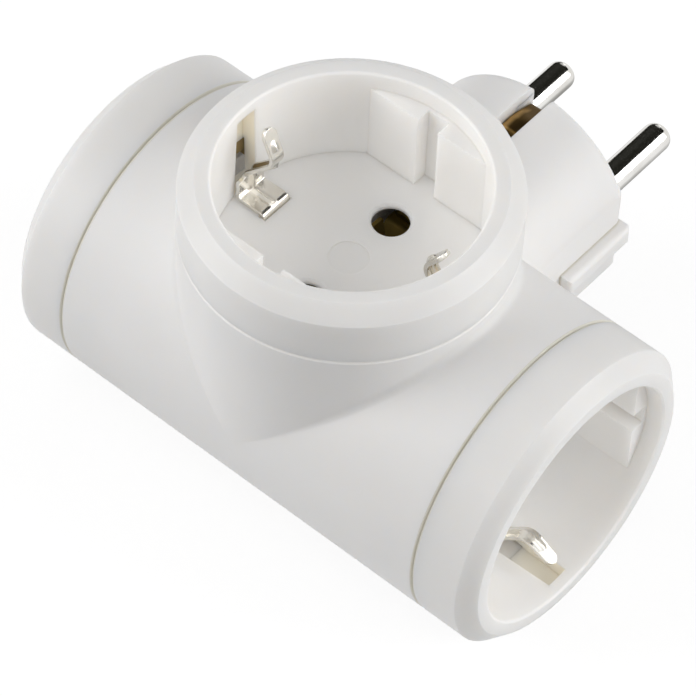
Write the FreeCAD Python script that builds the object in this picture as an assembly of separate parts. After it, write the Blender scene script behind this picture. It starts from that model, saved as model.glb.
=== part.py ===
import FreeCAD, Part
import math
import os

# A three-way plug adapter: a tube lies along X, with a socket in each end, a third
# socket stands on top of it, and a round plug with two pins points along +Y.
# All sizes are millimetres. The pieces are modelled about the point where the axes
# of the tubes and of the plug cross, and moved at the end, so that the origin is
# the middle of the face that the pins stand on.

# Tubes of the body
BODY_RADIUS = 25.0
BODY_WALL = 2.2
BODY_HALF = 34.1
TOP_SEAM = 27.5
SEAM_BEVEL = 0.25
CROSSING_ROUNDING = 1.5
BODY_BORE = BODY_RADIUS - BODY_WALL
SPRING_RELIEF = 1.6

# Socket inserts: a collar as wide as the body, and a cup inside the tube
COLLAR_HEIGHT = 10.3
CHAMFER_WIDE = 2.5
CHAMFER_DEEP = 2.3
RECESS_RADIUS = 20.1
RECESS_DEPTH = 17.5
MOUTH_ROUNDING = 0.3
FLOOR_THICK = 2.4
CUP_RADIUS = 22.4
CUP_BOTTOM = RECESS_DEPTH + FLOOR_THICK
END_FACE = BODY_HALF + COLLAR_HEIGHT
TOP_FACE = TOP_SEAM + COLLAR_HEIGHT

# Pins and pin holes
PIN_PITCH = 19.0
PIN_RADIUS = 2.4
PIN_LENGTH = 19.0
PIN_TIP_ROUNDING = 1.7
PIN_TAIL_RADIUS = 2.2
PIN_SHOULDER = 0.1
PIN_SEAT_RADIUS = 2.7
PIN_SEAT_DEPTH = 0.3
PIN_HOLE_RADIUS = 2.9
PIN_HOLE_BEVEL = 0.4
PIN_HOLE_WIDE_RADIUS = 4.2
PIN_HOLE_WIDE_TOP = -18.5

# Guides inside each socket, for the flats and ribs of a plug
GUIDE_FLAT = 16.9
GUIDE_TOP = 3.1
GROOVE_HALF = 1.9
GROOVE_BOTTOM = 19.4
FLOOR_MARK_RADIUS = 3.1
FLOOR_MARK_DEPTH = 0.2

# Windows in the wall and slots in the floor, for the earth springs
WINDOW_HALF = 2.5
WINDOW_TOP_HALF = 2.0
WINDOW_TOP = 2.0
WINDOW_DEPTH = 22.6
SLOT_HALF = 3.0
SLOT_NEAR = 13.45
SLOT_NEAR_BELOW = 13.2
SLOT_FAR = 14.8

# Snap lugs that hold an insert in its tube
LUG_HALF = 4.0
LUG_ROOT = 21.4
LUG_LOW = -16.4
LUG_HIGH = -13.6
LUG_REACH = 23.4
LUG_PLAY = 0.3

# Plug
PLUG_FACE = 45.5
PLUG_RADIUS = 18.4
PLUG_FLAT = 16.6
PLUG_ROUNDING = 1.8
PLUG_RIB_HALF = 1.8
PLUG_RIB_REACH = 18.7
PLUG_RIB_REAR = 30.3
PLUG_RIB_FRONT = 45.0
PLUG_RIB_ROUNDING = 0.9
PLUG_BORE = 15.2
PLUG_BORE_FLAT = 12.9
PLATE_THICK = 4.0
PLATE_RADIUS = 16.4
PLATE_FLAT = 13.9
SLEEVE_RADIUS = 4.0
SLEEVE_REAR = 33.0
STRAP_SLOT_HALF = 2.0
STRAP_SLOT_REAR_LEFT = 36.6
STRAP_SLOT_REAR_RIGHT = 34.85
STRAP_SLOT_FLOOR = 13.6
STRAP_FOLD_POCKET = 1.1
STRAP_FOLD_FLOOR = 11.6

# Sheet metal
SHEET = 0.8
SPRING = 0.7
SHEET_BEND = 0.8
CLEARANCE = 0.3
DRILL_DEEP = 8.0
BAR_HALF = 2.5
BAR_TOP = -3.8
BAR_END = 22.5
LINK_HALF = 2.3
LINK_BEND = 1.0
LINK_LEAVES_TAIL = 24.0
LIVE_LINK_LANDS = 15.0
NEUTRAL_LINK_DIPS = 17.5
NEUTRAL_LINK_RISES = -1.5
NEUTRAL_LINK_LANDS = -5.5
NEUTRAL_LINK_DEEP = 3.2
TAIL_FLAT = -1.5
TAIL_REAR = 25.0
RIVET_RADIUS = 0.9
RIVET_HEAD_RADIUS = 1.5
RIVET_HEAD = 0.5

# Contacts that grip the pins of a plug
GRIP_HALF = 2.8
GRIP_MOUTH = 3.4
GRIP_FLARE = 2.8
GRIP_BEND = 0.75
END_GRIP_NEAR = 13.0
END_GRIP_FAR = 22.5
END_GRIP_TOP = 4.4
TOP_GRIP_LONG = 4.0
TOP_GRIP_TOP = 16.2

# Earth springs, in the socket's own heights, with the mouth at 0
BASE_HALF = 2.8
ARM_HALF = 1.25
ARM_STARTS = -13.6
CLIP_RISER = 14.0
CLIP_WALL = 19.1
CLIP_KNEE = -13.0
CLIP_KNEE_BEND = 1.5
CLIP_NOSE_BEND = 2.4
TOP_LEFT_CLIP = ((13.7, -7.0), (16.1, -1.5))
TOP_RIGHT_CLIP = ((14.3, -6.8), (17.5, -2.4))
END_CLIP = ((14.4, -7.9), (17.1, -2.7))

# Other earth parts
EARTH_BAR_TOP = -9.6
EARTH_BAR_BOTTOM = -14.0
EARTH_ARM_HALF = 3.0
EARTH_TAB_REACH = 2.7
EARTH_RIVET_SIDE = 1.75
EARTH_RIVET_RADIUS = 0.7
STRAP_HALF = 1.8
STRAP_WEB = 33.2
STRAP_INSIDE = 13.9
STRAP_INSIDE_END = 36.3
STRAP_OUTSIDE = 15.65
STRAP_OUTSIDE_START = 37.7
STRAP_OUTSIDE_END = 40.5
STRAP_SOFT_BEND = 8.0
STRAP_FOLD = 44.85
STRAP_FOLD_HEIGHT = 14.3
STRAP_END = 12.0

# Carrier that holds the live and neutral bars
CARRIER_THICK = 2.0
CARRIER_HALF_WIDE = 21.3
RAIL_NEAR = 15.0
RAIL_FAR = 22.0
RAIL_INNER = 19.5
RAIL_DEEP = 2.4
RAIL_PLAY = 0.1

END_RIVET = (END_GRIP_NEAR + END_GRIP_FAR) / 2
BAR_BOTTOM = BAR_TOP - SHEET
CARRIER_BOTTOM = BAR_BOTTOM - CARRIER_THICK
HALF_PITCH = PIN_PITCH / 2
CUP_FLOOR_TOP = TOP_FACE - CUP_BOTTOM
CUP_FLOOR_END = END_FACE - CUP_BOTTOM
EARTH_RIVET_HEIGHT = (EARTH_BAR_TOP + EARTH_BAR_BOTTOM) / 2
TAIL_RIVET = (TAIL_REAR + SLEEVE_REAR) / 2
ROUND_OFF = 0.001

X_AXIS = FreeCAD.Vector(1, 0, 0)
Y_AXIS = FreeCAD.Vector(0, 1, 0)
Z_AXIS = FreeCAD.Vector(0, 0, 1)
CENTRE = FreeCAD.Vector(0, 0, 0)


def point(x, y, z):
    return FreeCAD.Vector(x, y, z)


def block(x_low, x_high, y_low, y_high, z_low, z_high):
    corner = point(x_low, y_low, z_low)
    return Part.makeBox(x_high - x_low, y_high - y_low, z_high - z_low, corner)


def rod(radius, start, end):
    along = end - start
    return Part.makeCylinder(radius, along.Length, start, along)


def turned(profile):
    """Turns a closed outline of (radius, height) pairs about the Z axis."""
    corners = [point(radius, 0, height) for radius, height in profile]
    outline = Part.makePolygon(corners + corners[:1])
    return Part.Face(outline).revolve(CENTRE, Z_AXIS, 360)


def side_by_side(shape):
    """The shape and its copy turned by half a turn about the Z axis."""
    other = shape.copy()
    other.rotate(CENTRE, Z_AXIS, 180)
    return shape.fuse(other)


def bent_strip(route, bends, thickness, place):
    """A strip seen from its edge: straight runs along the route joined by round bends,
    with one radius for each corner, and a side wall each side of the route at half the
    thickness. The route's two coordinates are put into space by place(first, second)."""
    arcs = []
    for before, corner, after, bend in zip(route, route[1:], route[2:], bends):
        into = direction(before, corner)
        out = direction(corner, after)
        turn = math.atan2(into[0] * out[1] - into[1] * out[0], into[0] * out[0] + into[1] * out[1])
        back = bend * math.tan(abs(turn) / 2)
        side = math.copysign(bend, turn)
        start = (corner[0] - into[0] * back, corner[1] - into[1] * back)
        end = (corner[0] + out[0] * back, corner[1] + out[1] * back)
        centre = (start[0] - into[1] * side, start[1] + into[0] * side)
        arcs.append((start, end, centre))
    left = strip_wall(route, arcs, thickness / 2, place)
    right = strip_wall(route, arcs, -thickness / 2, place)
    first_cap = Part.makeLine(left[0].Vertexes[0].Point, right[0].Vertexes[0].Point)
    last_cap = Part.makeLine(left[-1].Vertexes[-1].Point, right[-1].Vertexes[-1].Point)
    loop = Part.Wire(Part.__sortEdges__(left + right + [first_cap, last_cap]))
    return Part.Face(loop)


def strip_wall(route, arcs, offset, place):
    """One side wall of a strip, as a list of edges from its first end to its last."""
    edges = []
    run_start = route[0]
    for start, end, centre in arcs:
        first = moved_aside(run_start, run_start, start, offset)
        second = moved_aside(start, run_start, start, offset)
        into = direction(run_start, start)
        out = direction(centre, end)
        side = math.copysign(1, into[0] * (centre[1] - start[1]) - into[1] * (centre[0] - start[0]))
        reach = math.hypot(end[0] - centre[0], end[1] - centre[1]) - side * offset
        third = (centre[0] + out[0] * reach, centre[1] + out[1] * reach)
        middle = arc_middle(centre, second, third)
        edges.append(Part.makeLine(place(*first), place(*second)))
        edges.append(Part.Arc(place(*second), place(*middle), place(*third)).toShape())
        run_start = end
    first = moved_aside(run_start, run_start, route[-1], offset)
    last = moved_aside(route[-1], run_start, route[-1], offset)
    edges.append(Part.makeLine(place(*first), place(*last)))
    return edges


def direction(start, end):
    """The unit step from one spot towards another."""
    length = math.hypot(end[0] - start[0], end[1] - start[1])
    return ((end[0] - start[0]) / length, (end[1] - start[1]) / length)


def moved_aside(spot, run_start, run_end, offset):
    """A spot moved square to the run that it belongs to."""
    along = direction(run_start, run_end)
    return (spot[0] - along[1] * offset, spot[1] + along[0] * offset)


def arc_middle(centre, first, last):
    """The middle of the shorter arc between two spots on a circle."""
    radius = math.hypot(first[0] - centre[0], first[1] - centre[1])
    out = direction(centre, ((first[0] + last[0]) / 2, (first[1] + last[1]) / 2))
    return (centre[0] + out[0] * radius, centre[1] + out[1] * radius)


# Socket insert, drawn with its mouth at height 0 and its floor below


def insert_outside():
    shoulder = -COLLAR_HEIGHT
    return turned([
        (0, -CUP_BOTTOM),
        (CUP_RADIUS - SEAM_BEVEL, -CUP_BOTTOM),
        (CUP_RADIUS, -CUP_BOTTOM + SEAM_BEVEL),
        (CUP_RADIUS, shoulder),
        (BODY_RADIUS - SEAM_BEVEL, shoulder),
        (BODY_RADIUS, shoulder + SEAM_BEVEL),
        (BODY_RADIUS, -CHAMFER_DEEP),
        (BODY_RADIUS - CHAMFER_WIDE, 0),
        (0, 0),
    ])


def recess():
    """The hollow that takes a plug: round, with two flat guides on the Y sides,
    each with a groove down its middle."""
    hollow = turned([
        (0, -RECESS_DEPTH),
        (RECESS_RADIUS, -RECESS_DEPTH),
        (RECESS_RADIUS, -MOUTH_ROUNDING),
        (RECESS_RADIUS + MOUTH_ROUNDING, 0),
        (0, 0),
    ])
    guide = block(-RECESS_RADIUS, RECESS_RADIUS, GUIDE_FLAT, BODY_RADIUS, -RECESS_DEPTH, -GUIDE_TOP)
    groove = block(-GROOVE_HALF, GROOVE_HALF, GUIDE_FLAT, GROOVE_BOTTOM, -RECESS_DEPTH, -GUIDE_TOP)
    return hollow.cut(side_by_side(guide.cut(groove)))


def pin_hole(side):
    """A through hole with a small bevel at its mouth, much wider under the floor."""
    bottom = point(0, side * HALF_PITCH, -CUP_BOTTOM)
    hole = rod(PIN_HOLE_RADIUS, bottom, point(0, side * HALF_PITCH, 0))
    wide = rod(PIN_HOLE_WIDE_RADIUS, bottom, point(0, side * HALF_PITCH, PIN_HOLE_WIDE_TOP))
    bevel = Part.makeCone(
        PIN_HOLE_RADIUS,
        PIN_HOLE_RADIUS + PIN_HOLE_BEVEL,
        PIN_HOLE_BEVEL,
        point(0, side * HALF_PITCH, -RECESS_DEPTH - PIN_HOLE_BEVEL),
        Z_AXIS,
    )
    return hole.fuse(bevel).fuse(wide)


def spring_openings():
    """A tall window in the wall and a slot in the floor, on each X side. The window
    is a little narrower at the mouth, and the slot a little wider under the floor."""
    outline = Part.makePolygon([
        point(SLOT_FAR, -WINDOW_HALF, -RECESS_DEPTH),
        point(SLOT_FAR, WINDOW_HALF, -RECESS_DEPTH),
        point(SLOT_FAR, WINDOW_TOP_HALF, -WINDOW_TOP),
        point(SLOT_FAR, -WINDOW_TOP_HALF, -WINDOW_TOP),
        point(SLOT_FAR, -WINDOW_HALF, -RECESS_DEPTH),
    ])
    window = Part.Face(outline).extrude(X_AXIS * (WINDOW_DEPTH - SLOT_FAR))
    outline = Part.makePolygon([
        point(SLOT_NEAR, -SLOT_HALF, -RECESS_DEPTH),
        point(SLOT_NEAR, -SLOT_HALF, -CUP_BOTTOM + FLOOR_THICK / 2),
        point(SLOT_NEAR_BELOW, -SLOT_HALF, -CUP_BOTTOM),
        point(SLOT_FAR, -SLOT_HALF, -CUP_BOTTOM),
        point(SLOT_FAR, -SLOT_HALF, -RECESS_DEPTH),
        point(SLOT_NEAR, -SLOT_HALF, -RECESS_DEPTH),
    ])
    slot = Part.Face(outline).extrude(Y_AXIS * (2 * SLOT_HALF))
    return side_by_side(window.fuse(slot))


def snap_lugs(play):
    """Wedge lugs on the Y sides of the cup; with play they give the pockets."""
    lug = block(
        -LUG_HALF - play,
        LUG_HALF + play,
        LUG_ROOT,
        LUG_REACH + play,
        LUG_LOW - play,
        LUG_HIGH + play,
    )
    return side_by_side(lug)


def socket_insert():
    body = insert_outside().fuse(snap_lugs(0))
    mark = rod(FLOOR_MARK_RADIUS, point(0, 0, -RECESS_DEPTH - FLOOR_MARK_DEPTH), point(0, 0, 0))
    for hollow in (recess(), pin_hole(1), pin_hole(-1), mark, spring_openings()):
        body = body.cut(hollow)
    return body.removeSplitter()


def earth_arm(nose, tip):
    """One half of the bracket, on the +X side: it runs under the floor of the cup,
    rises through the floor slot, turns out along the floor, up the wall, and into
    the socket as a narrow tongue with a rounded nose."""
    under_floor = -CUP_BOTTOM - SPRING / 2
    on_floor = -RECESS_DEPTH + SPRING / 2
    route = [
        (0, under_floor),
        (CLIP_RISER, under_floor),
        (CLIP_RISER, on_floor),
        (CLIP_WALL, on_floor),
        (CLIP_WALL, CLIP_KNEE),
        nose,
        tip,
    ]
    bends = [SHEET_BEND, SHEET_BEND, SHEET_BEND, CLIP_KNEE_BEND, CLIP_NOSE_BEND]
    half = bent_strip(route, bends, SPRING, lambda across, height: point(across, -BASE_HALF, height))
    half = half.extrude(Y_AXIS * (2 * BASE_HALF))
    for side in (-1, 1):
        edge = sorted((side * ARM_HALF, side * BODY_RADIUS))
        half = half.cut(block(CLIP_RISER, BODY_RADIUS, edge[0], edge[1], ARM_STARTS, 0))
    return half


def earth_bracket(rivet_at, left_clip, right_clip):
    """A U of spring sheet with a clip at each end, held to the earth bar by one rivet.
    Each clip is given by the places of its nose and of its tip."""
    left = earth_arm(*left_clip).mirror(CENTRE, X_AXIS)
    right = earth_arm(*right_clip)
    spot = point(rivet_at, EARTH_RIVET_SIDE, -CUP_BOTTOM)
    rivet_hole = rod(EARTH_RIVET_RADIUS, spot - Z_AXIS, spot)
    return left.fuse(right).removeSplitter().cut(rivet_hole)


def at_top(shape):
    placed = shape.copy()
    placed.translate(point(0, 0, TOP_FACE))
    return placed


def at_right(shape):
    placed = shape.copy()
    placed.rotate(CENTRE, Y_AXIS, 90)
    placed.translate(point(END_FACE, 0, 0))
    return placed


def at_left(shape):
    placed = shape.copy()
    placed.rotate(CENTRE, Y_AXIS, -90)
    placed.translate(point(-END_FACE, 0, 0))
    return placed


# Main housing


def body_tube(radius, half_length, bevel):
    """A solid round bar along X, with bevelled ends."""
    bar = turned([
        (0, -half_length),
        (radius - bevel, -half_length),
        (radius, -half_length + bevel),
        (radius, half_length - bevel),
        (radius - bevel, half_length),
        (0, half_length),
    ])
    bar.rotate(CENTRE, Y_AXIS, 90)
    return bar


def top_tube(radius, bevel):
    return turned([
        (0, 0),
        (radius, 0),
        (radius, TOP_SEAM - bevel),
        (radius - bevel, TOP_SEAM),
        (0, TOP_SEAM),
    ])


def plug_bar(radius, flat, rear, front):
    """A round bar along Y with a flat on each X side."""
    bar = rod(radius, point(0, rear, 0), point(0, front, 0))
    return bar.common(block(-flat, flat, rear, front, -radius, radius))


def plug_outside():
    bar = plug_bar(PLUG_RADIUS, PLUG_FLAT, 0, PLUG_FACE)
    rim = [edge for edge in bar.Edges if all(abs(v.Y - PLUG_FACE) < ROUND_OFF for v in edge.Vertexes)]
    bar = bar.makeFillet(PLUG_ROUNDING, rim)
    rib = block(0, PLUG_RIB_REACH, PLUG_RIB_REAR, PLUG_RIB_FRONT, -PLUG_RIB_HALF, PLUG_RIB_HALF)
    reach = PLUG_RIB_REACH - ROUND_OFF
    outer = [edge for edge in rib.Edges if all(vertex.X > reach for vertex in edge.Vertexes)]
    rib = rib.makeFillet(PLUG_RIB_ROUNDING, outer)
    return bar.fuse(rib).fuse(rib.mirror(CENTRE, X_AXIS))


def plug_hollow():
    """The hollow of the plug: a step in it carries the face plate."""
    ledge = PLUG_FACE - PLATE_THICK
    narrow = plug_bar(PLUG_BORE, PLUG_BORE_FLAT, 0, ledge)
    wide = plug_bar(PLATE_RADIUS, PLATE_FLAT, ledge, PLUG_FACE)
    return narrow.fuse(wide)


def strap_slots(floor):
    """The slots along the top and the bottom of the plug, for the earth straps. Seen
    from above, the rear end of each slot runs aslant."""
    outline = Part.makePolygon([
        point(-STRAP_SLOT_HALF, STRAP_SLOT_REAR_LEFT, floor),
        point(STRAP_SLOT_HALF, STRAP_SLOT_REAR_RIGHT, floor),
        point(STRAP_SLOT_HALF, PLUG_FACE, floor),
        point(-STRAP_SLOT_HALF, PLUG_FACE, floor),
        point(-STRAP_SLOT_HALF, STRAP_SLOT_REAR_LEFT, floor),
    ])
    slot = Part.Face(outline).extrude(Z_AXIS * (PLUG_RADIUS - floor))
    return slot.fuse(slot.mirror(CENTRE, Z_AXIS))


def strap_fold_pockets():
    """Shallow pockets in the plug's face, where the ends of the straps fold over."""
    rear = PLUG_FACE - STRAP_FOLD_POCKET
    pocket = block(-STRAP_SLOT_HALF, STRAP_SLOT_HALF, rear, PLUG_FACE, STRAP_FOLD_FLOOR, PLUG_RADIUS)
    return pocket.fuse(pocket.mirror(CENTRE, Z_AXIS))


def carrier_rails():
    """Four pairs of short rails inside the tube, with the carrier's edges between."""
    rails = []
    for side in (-1, 1):
        for end in (-1, 1):
            across = sorted((side * RAIL_INNER, side * BODY_RADIUS))
            along = sorted((end * RAIL_NEAR, end * RAIL_FAR))
            low = block(*along, *across, CARRIER_BOTTOM - RAIL_DEEP, CARRIER_BOTTOM)
            high = block(*along, *across, BAR_BOTTOM + RAIL_PLAY, BAR_BOTTOM + RAIL_DEEP)
            rails += [low, high]
    inside_wall = body_tube(BODY_BORE + BODY_WALL / 2, BODY_HALF, 0)
    return [rail.common(inside_wall) for rail in rails]


def crossing_tubes():
    """The tube along X and the tube on top of it, with a small round in the corner
    between them. They are equally wide, so they meet along halves of ellipses."""
    tubes = body_tube(BODY_RADIUS, BODY_HALF, SEAM_BEVEL).fuse(top_tube(BODY_RADIUS, SEAM_BEVEL))
    tubes = tubes.removeSplitter()
    corner = [edge for edge in tubes.Edges if isinstance(edge.Curve, Part.Ellipse)]
    return tubes.makeFillet(CROSSING_ROUNDING, corner)


def spring_reliefs():
    """Behind each spring of the top socket, the corner where the bores of the two tubes
    meet is cut back aslant."""
    inside = BODY_BORE - SPRING_RELIEF
    deep = BODY_BORE + SPRING_RELIEF
    outline = Part.makePolygon([
        point(inside, -SLOT_HALF, inside),
        point(inside, -SLOT_HALF, deep),
        point(BODY_BORE, -SLOT_HALF, deep),
        point(deep, -SLOT_HALF, BODY_BORE),
        point(deep, -SLOT_HALF, inside),
        point(inside, -SLOT_HALF, inside),
    ])
    return side_by_side(Part.Face(outline).extrude(Y_AXIS * (2 * SLOT_HALF)))


def main_housing():
    outside = crossing_tubes().fuse(plug_outside())
    hollow = body_tube(BODY_BORE, BODY_HALF, 0)
    hollow = hollow.fuse(top_tube(BODY_BORE, 0)).fuse(plug_hollow())
    housing = outside.cut(hollow)
    housing = housing.cut(strap_slots(STRAP_SLOT_FLOOR)).cut(spring_reliefs())
    pockets = snap_lugs(LUG_PLAY)
    for placed in (at_top(pockets), at_right(pockets), at_left(pockets)):
        housing = housing.cut(placed)
    for rail in carrier_rails():
        housing = housing.fuse(rail)
    return housing.removeSplitter()


# Plug: face plate, pins and earth straps


def plug_face_plate():
    """Closes the plug, and holds the pins in two sleeves on its inner side. Each pin
    comes out of a shallow round seat in the face."""
    plate = plug_bar(PLATE_RADIUS, PLATE_FLAT, PLUG_FACE - PLATE_THICK, PLUG_FACE)
    for side in (-1, 1):
        start = point(side * HALF_PITCH, SLEEVE_REAR, 0)
        sleeve = rod(SLEEVE_RADIUS, start, point(side * HALF_PITCH, PLUG_FACE - PLATE_THICK, 0))
        # The sleeve is flat where it would meet the wall of the plug
        half = PLUG_BORE_FLAT - CLEARANCE
        sleeve = sleeve.common(block(-half, half, 0, PLUG_FACE, -SLEEVE_RADIUS, SLEEVE_RADIUS))
        plate = plate.fuse(sleeve)
    for side in (-1, 1):
        start = point(side * HALF_PITCH, SLEEVE_REAR, 0)
        seat = point(side * HALF_PITCH, PLUG_FACE - PIN_SEAT_DEPTH, 0)
        face = point(side * HALF_PITCH, PLUG_FACE, 0)
        plate = plate.cut(rod(PIN_TAIL_RADIUS, start, face)).cut(rod(PIN_SEAT_RADIUS, seat, face))
    return plate.cut(strap_slots(STRAP_SLOT_FLOOR)).cut(strap_fold_pockets()).removeSplitter()


def plug_pin(side):
    """A solid round pin with a rounded tip. It is turned down to a thinner tail, which
    goes through the plate, and the tail has a flat that lies on a link."""
    middle = side * HALF_PITCH
    shoulder = PLUG_FACE + PIN_SHOULDER
    tip = PLUG_FACE + PIN_LENGTH
    pin = rod(PIN_RADIUS, point(middle, shoulder, 0), point(middle, tip, 0))
    rim = [edge for edge in pin.Edges if all(abs(v.Y - tip) < ROUND_OFF for v in edge.Vertexes)]
    pin = pin.makeFillet(PIN_TIP_ROUNDING, rim)
    tail = rod(PIN_TAIL_RADIUS, point(middle, TAIL_REAR, 0), point(middle, shoulder, 0))
    under = block(
        middle - PIN_RADIUS, middle + PIN_RADIUS, TAIL_REAR, SLEEVE_REAR, -PIN_RADIUS, TAIL_FLAT
    )
    return pin.fuse(tail).cut(under).cut(link_rivet_hole(side))


def link_rivet_hole(side):
    """The hole through a pin's tail and the link under it."""
    spot = point(side * HALF_PITCH, TAIL_RIVET, 0)
    return rod(RIVET_RADIUS, spot - Z_AXIS * DRILL_DEEP, spot + Z_AXIS * DRILL_DEEP)


def plug_earth_strap():
    """A U of sheet across the plug. Each leg steps up into its slot, runs along it,
    bends gently down and folds over the edge of the plug's face."""
    route = [
        (STRAP_WEB, 0),
        (STRAP_WEB, STRAP_INSIDE),
        (STRAP_INSIDE_END, STRAP_INSIDE),
        (STRAP_OUTSIDE_START, STRAP_OUTSIDE),
        (STRAP_OUTSIDE_END, STRAP_OUTSIDE),
        (STRAP_FOLD, STRAP_FOLD_HEIGHT),
        (STRAP_FOLD, STRAP_END),
    ]
    bends = [SHEET_BEND, SHEET_BEND, SHEET_BEND, STRAP_SOFT_BEND, SHEET_BEND]
    half = bent_strip(route, bends, SHEET, lambda along, height: point(-STRAP_HALF, along, height))
    half = half.extrude(X_AXIS * (2 * STRAP_HALF))
    strap = half.fuse(half.mirror(CENTRE, Z_AXIS)).removeSplitter()
    return strap.cut(strap_rivet_hole())


def strap_rivet_hole():
    spot = point(0, STRAP_WEB, EARTH_RIVET_HEIGHT)
    return rod(EARTH_RIVET_RADIUS, spot - Y_AXIS * (2 * SHEET), spot + Y_AXIS * (2 * SHEET))


# Live and neutral parts: side is +1 for live and -1 for neutral


def bar_holes(side):
    """The rivet holes of one bar: for the end contacts, the top contact and the link."""
    holes = []
    for along in (-END_RIVET, 0, END_RIVET, side * HALF_PITCH):
        spot = point(along, side * HALF_PITCH, 0)
        holes.append(rod(RIVET_RADIUS, spot - Z_AXIS * DRILL_DEEP, spot))
    return holes


def contact_bar(side):
    middle = side * HALF_PITCH
    bar = block(-BAR_END, BAR_END, middle - BAR_HALF, middle + BAR_HALF, BAR_BOTTOM, BAR_TOP)
    for hole in bar_holes(side):
        bar = bar.cut(hole)
    return bar


def grip_route(top):
    """A U seen from its end, with its mouth spread."""
    bottom = BAR_TOP + SPRING / 2
    straight_to = top - GRIP_FLARE
    return [
        (-GRIP_MOUTH, top),
        (-GRIP_HALF, straight_to),
        (-GRIP_HALF, bottom),
        (GRIP_HALF, bottom),
        (GRIP_HALF, straight_to),
        (GRIP_MOUTH, top),
    ]


def end_contact(side, end):
    """Grips a pin that comes in along X."""
    middle = side * HALF_PITCH
    near = min(end * END_GRIP_NEAR, end * END_GRIP_FAR)
    route = grip_route(END_GRIP_TOP)
    bends = [GRIP_BEND] * (len(route) - 2)
    face = bent_strip(route, bends, SPRING, lambda across, height: point(near, middle + across, height))
    grip = face.extrude(X_AXIS * (END_GRIP_FAR - END_GRIP_NEAR))
    for hole in bar_holes(side):
        grip = grip.cut(hole)
    return grip


def top_contact(side):
    """Grips a pin that comes down from the top socket."""
    near = side * HALF_PITCH - TOP_GRIP_LONG / 2
    route = grip_route(TOP_GRIP_TOP)
    bends = [GRIP_BEND] * (len(route) - 2)
    face = bent_strip(route, bends, SPRING, lambda across, height: point(across, near, height))
    grip = face.extrude(Y_AXIS * TOP_GRIP_LONG)
    for hole in bar_holes(side):
        grip = grip.cut(hole)
    return grip


def link(side):
    """Joins a pin's tail to its bar. The live link lands on top of its bar; the
    neutral link passes under the live bar and lands under its own."""
    at_tail = TAIL_FLAT - SHEET / 2
    route = [(SLEEVE_REAR - CLEARANCE, at_tail), (LINK_LEAVES_TAIL, at_tail)]
    if side > 0:
        at_bar = BAR_TOP + SHEET / 2
        route += [(LIVE_LINK_LANDS, at_bar), (HALF_PITCH - BAR_HALF, at_bar)]
    else:
        at_bar = BAR_BOTTOM - SHEET / 2
        low = at_bar - NEUTRAL_LINK_DEEP
        route += [(NEUTRAL_LINK_DIPS, low), (NEUTRAL_LINK_RISES, low)]
        route += [(NEUTRAL_LINK_LANDS, at_bar), (-HALF_PITCH - BAR_HALF, at_bar)]
    start = side * HALF_PITCH - LINK_HALF
    bends = [LINK_BEND] * (len(route) - 2)
    strip = bent_strip(route, bends, SHEET, lambda along, height: point(start, along, height))
    strip = strip.extrude(X_AXIS * (2 * LINK_HALF)).cut(link_rivet_hole(side))
    for hole in bar_holes(side):
        strip = strip.cut(hole)
    return strip


def rivet(spot, along, grip, radius):
    """A rivet through a stack: its shank is as long as the stack, a head each side."""
    head = radius + (RIVET_HEAD_RADIUS - RIVET_RADIUS)
    shank = rod(radius, spot, spot + along * grip)
    lower = rod(head, spot + along * -RIVET_HEAD, spot)
    upper = rod(head, spot + along * grip, spot + along * (grip + RIVET_HEAD))
    return shank.fuse([lower, upper]).removeSplitter()


def line_rivets(side):
    """The rivets of the live or the neutral parts."""
    middle = side * HALF_PITCH
    rivets = []
    for along in (-END_RIVET, 0, END_RIVET):
        rivets.append(rivet(point(along, middle, BAR_BOTTOM), Z_AXIS, SHEET + SPRING, RIVET_RADIUS))
    low = BAR_BOTTOM if side > 0 else BAR_BOTTOM - SHEET
    rivets.append(rivet(point(middle, middle, low), Z_AXIS, 2 * SHEET, RIVET_RADIUS))
    stack = SHEET - TAIL_FLAT + PIN_TAIL_RADIUS
    rivets.append(rivet(point(middle, TAIL_RIVET, TAIL_FLAT - SHEET), Z_AXIS, stack, RIVET_RADIUS))
    return Part.makeCompound(rivets)


# Earth bar and its rivets


def earth_bar():
    """A flat cross of sheet on edge between the live and neutral bars. Its tabs are
    folded flat against the three brackets, and a long tab runs to the plug's strap."""
    half_sheet = SHEET / 2
    end_plane = CUP_FLOOR_END - SPRING
    top_plane = CUP_FLOOR_TOP - SPRING
    bar = block(-end_plane, end_plane, -half_sheet, half_sheet, EARTH_BAR_BOTTOM, EARTH_BAR_TOP)
    arm = block(-EARTH_ARM_HALF, EARTH_ARM_HALF, -half_sheet, half_sheet, EARTH_BAR_TOP, top_plane)
    top_tab = block(
        -EARTH_ARM_HALF, EARTH_ARM_HALF, -half_sheet, EARTH_TAB_REACH, top_plane - SHEET, top_plane
    )
    pieces = [arm, top_tab]
    for end in (-1, 1):
        along = sorted((end * (end_plane - SHEET), end * end_plane))
        pieces.append(block(*along, -half_sheet, EARTH_TAB_REACH, EARTH_BAR_BOTTOM, EARTH_BAR_TOP))
    strap_side = STRAP_WEB - half_sheet
    pieces.append(
        block(-STRAP_HALF, STRAP_HALF, -half_sheet, strap_side, EARTH_BAR_BOTTOM, EARTH_BAR_BOTTOM + SHEET)
    )
    pieces.append(
        block(-STRAP_HALF, STRAP_HALF, strap_side - SHEET, strap_side, EARTH_BAR_BOTTOM, EARTH_BAR_TOP)
    )
    bar = bar.fuse(pieces).removeSplitter()
    for hole in earth_rivet_holes():
        bar = bar.cut(hole)
    return bar


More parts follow.
